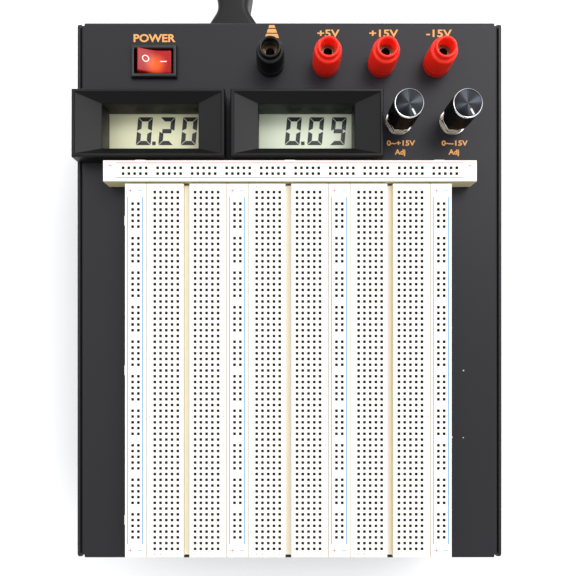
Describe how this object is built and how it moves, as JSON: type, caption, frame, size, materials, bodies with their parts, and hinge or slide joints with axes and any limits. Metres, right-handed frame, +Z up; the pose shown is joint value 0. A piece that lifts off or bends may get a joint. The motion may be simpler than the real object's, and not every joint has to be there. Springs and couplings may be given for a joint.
{
  "type": "bench power supply",
  "caption": "Mains bench power supply with panel meters, voltage knobs, binding posts and a solderless breadboard work surface on its flat top panel.",
  "frame": {"origin": "middle of the case's footprint, on the surface that its feet stand on", "axes": "+X to the operator's right, +Y to the rear wall with the mains inlet, +Z up"},
  "size_m": [0.2094, 0.4526, 0.088],
  "materials": {
    "tray_paint": "fine matt powder coat, black",
    "panel_paint": "fine matt powder coat, charcoal",
    "black_screw": "black-oxide steel",
    "foot_rubber": "matt rubber",
    "zinc": "bright zinc plating",
    "board_plastic": "ivory moulded plastic",
    "foam_tape": "white foam tape",
    "spring_metal": "nickel-plated spring strip",
    "bezel_plastic": "satin black moulded plastic",
    "lens_glass": "clear",
    "display_glass": "grey-green liquid-crystal glass",
    "circuit_board": "green solder mask",
    "switch_plastic": "satin black moulded plastic",
    "lamp_glass": "orange neon lamp",
    "rocker_plastic": "translucent red, glossy",
    "brass": "turned brass",
    "post_red": "satin red moulded plastic",
    "post_black": "satin black moulded plastic",
    "knob_plastic": "knurled black plastic",
    "knob_metal": "spun and diamond-cut aluminium",
    "nickel": "nickel plating",
    "core_steel": "varnished steel laminations",
    "winding_tape": "yellow polyester tape over copper",
    "capacitor_sleeve": "blue shrink sleeve",
    "heatsink_metal": "extruded aluminium",
    "wire_sleeve": "red wire insulation",
    "cord_plastic": "satin black cord plastic",
    "tie_plastic": "dark grey strap"
  },
  "bodies": {
    "root": {"base_tray": "tray_paint", "top_cover": "panel_paint", "case_screws": "black_screw", "rubber_feet": "foot_rubber", "foot_screws": "zinc", "terminal_strip_left": "board_plastic", "terminal_strip_middle": "board_plastic", "terminal_strip_right": "board_plastic", "bus_strip_left": "board_plastic", "bus_strip_inner_left": "board_plastic", "bus_strip_inner_right": "board_plastic", "bus_strip_right": "board_plastic", "bus_strip_rear": "board_plastic", "backing_tape": "foam_tape", "contact_clips": "spring_metal", "left_meter_bezel": "bezel_plastic", "right_meter_bezel": "bezel_plastic", "meter_lenses": "lens_glass", "meter_displays": "display_glass", "meter_boards": "circuit_board", "switch_housing": "switch_plastic", "switch_terminals": "brass", "switch_lamp": "lamp_glass", "post_bushings": "post_red", "post_studs": "brass", "post_nuts": "zinc", "pot_bodies": "nickel", "pot_nuts": "nickel", "pot_washers": "nickel", "mains_inlet": "switch_plastic", "inlet_pins": "brass", "inner_screws": "zinc", "transformer_core": "core_steel", "transformer_winding": "winding_tape", "transformer_screws": "zinc", "power_board": "circuit_board", "filter_capacitors": "capacitor_sleeve", "regulators": "switch_plastic", "heatsink": "heatsink_metal", "wiring_loom": "wire_sleeve", "mains_connector": "cord_plastic", "cord_tube": "cord_plastic", "cord_coil": "cord_plastic", "cord_tie": "tie_plastic", "mains_plug": "cord_plastic"},
    "rocker": {"power_rocker": "rocker_plastic"},
    "plus_dial": {"plus_knob": "knob_plastic", "plus_knob_cap": "knob_metal", "plus_pot_shaft": "nickel"},
    "minus_dial": {"minus_knob": "knob_plastic", "minus_knob_cap": "knob_metal", "minus_pot_shaft": "nickel"},
    "ground_insert": {"ground_post_insert": "brass"},
    "ground_cap": {"ground_post_cap": "post_black"},
    "plus5_insert": {"plus5_post_insert": "brass"},
    "plus5_cap": {"plus5_post_cap": "post_red"},
    "plus15_insert": {"plus15_post_insert": "brass"},
    "plus15_cap": {"plus15_post_cap": "post_red"},
    "minus15_insert": {"minus15_post_insert": "brass"},
    "minus15_cap": {"minus15_post_cap": "post_red"}
  },
  "joints": [
    {"name": "power_rock", "type": "hinge", "parent": "root", "child": "rocker", "pos_m": [-0.062, 0.103, 0.0685], "axis": [0, 1, 0], "range_deg": [-20, 0]},
    {"name": "plus_turn", "type": "hinge", "parent": "root", "child": "plus_dial", "pos_m": [0.0501, 0.0757, 0.069], "axis": [0, 0, 1], "range_deg": [-300, 0]},
    {"name": "minus_turn", "type": "hinge", "parent": "root", "child": "minus_dial", "pos_m": [0.0748, 0.0757, 0.069], "axis": [0, 0, 1], "range_deg": [-300, 0]},
    {"name": "ground_lift", "type": "slide", "parent": "root", "child": "ground_insert", "axis": [0, 0, 1], "range_m": [0, 0.003]},
    {"name": "ground_unscrew", "type": "hinge", "parent": "ground_insert", "child": "ground_cap", "pos_m": [-0.0087, 0.1025, 0.079], "axis": [0, 0, 1], "range_deg": [0, 1080]},
    {"name": "plus5_lift", "type": "slide", "parent": "root", "child": "plus5_insert", "axis": [0, 0, 1], "range_m": [0, 0.003]},
    {"name": "plus5_unscrew", "type": "hinge", "parent": "plus5_insert", "child": "plus5_cap", "pos_m": [0.0167, 0.1025, 0.079], "axis": [0, 0, 1], "range_deg": [0, 1080]},
    {"name": "plus15_lift", "type": "slide", "parent": "root", "child": "plus15_insert", "axis": [0, 0, 1], "range_m": [0, 0.003]},
    {"name": "plus15_unscrew", "type": "hinge", "parent": "plus15_insert", "child": "plus15_cap", "pos_m": [0.0421, 0.1025, 0.079], "axis": [0, 0, 1], "range_deg": [0, 1080]},
    {"name": "minus15_lift", "type": "slide", "parent": "root", "child": "minus15_insert", "axis": [0, 0, 1], "range_m": [0, 0.003]},
    {"name": "minus15_unscrew", "type": "hinge", "parent": "minus15_insert", "child": "minus15_cap", "pos_m": [0.0675, 0.1025, 0.079], "axis": [0, 0, 1], "range_deg": [0, 1080]}
  ],
  "couplings": [
    {"joint": "ground_unscrew", "follows": "ground_lift", "rad_per_m": 6283.2},
    {"joint": "plus5_unscrew", "follows": "plus5_lift", "rad_per_m": 6283.2},
    {"joint": "plus15_unscrew", "follows": "plus15_lift", "rad_per_m": 6283.2},
    {"joint": "minus15_unscrew", "follows": "minus15_lift", "rad_per_m": 6283.2}
  ]
}
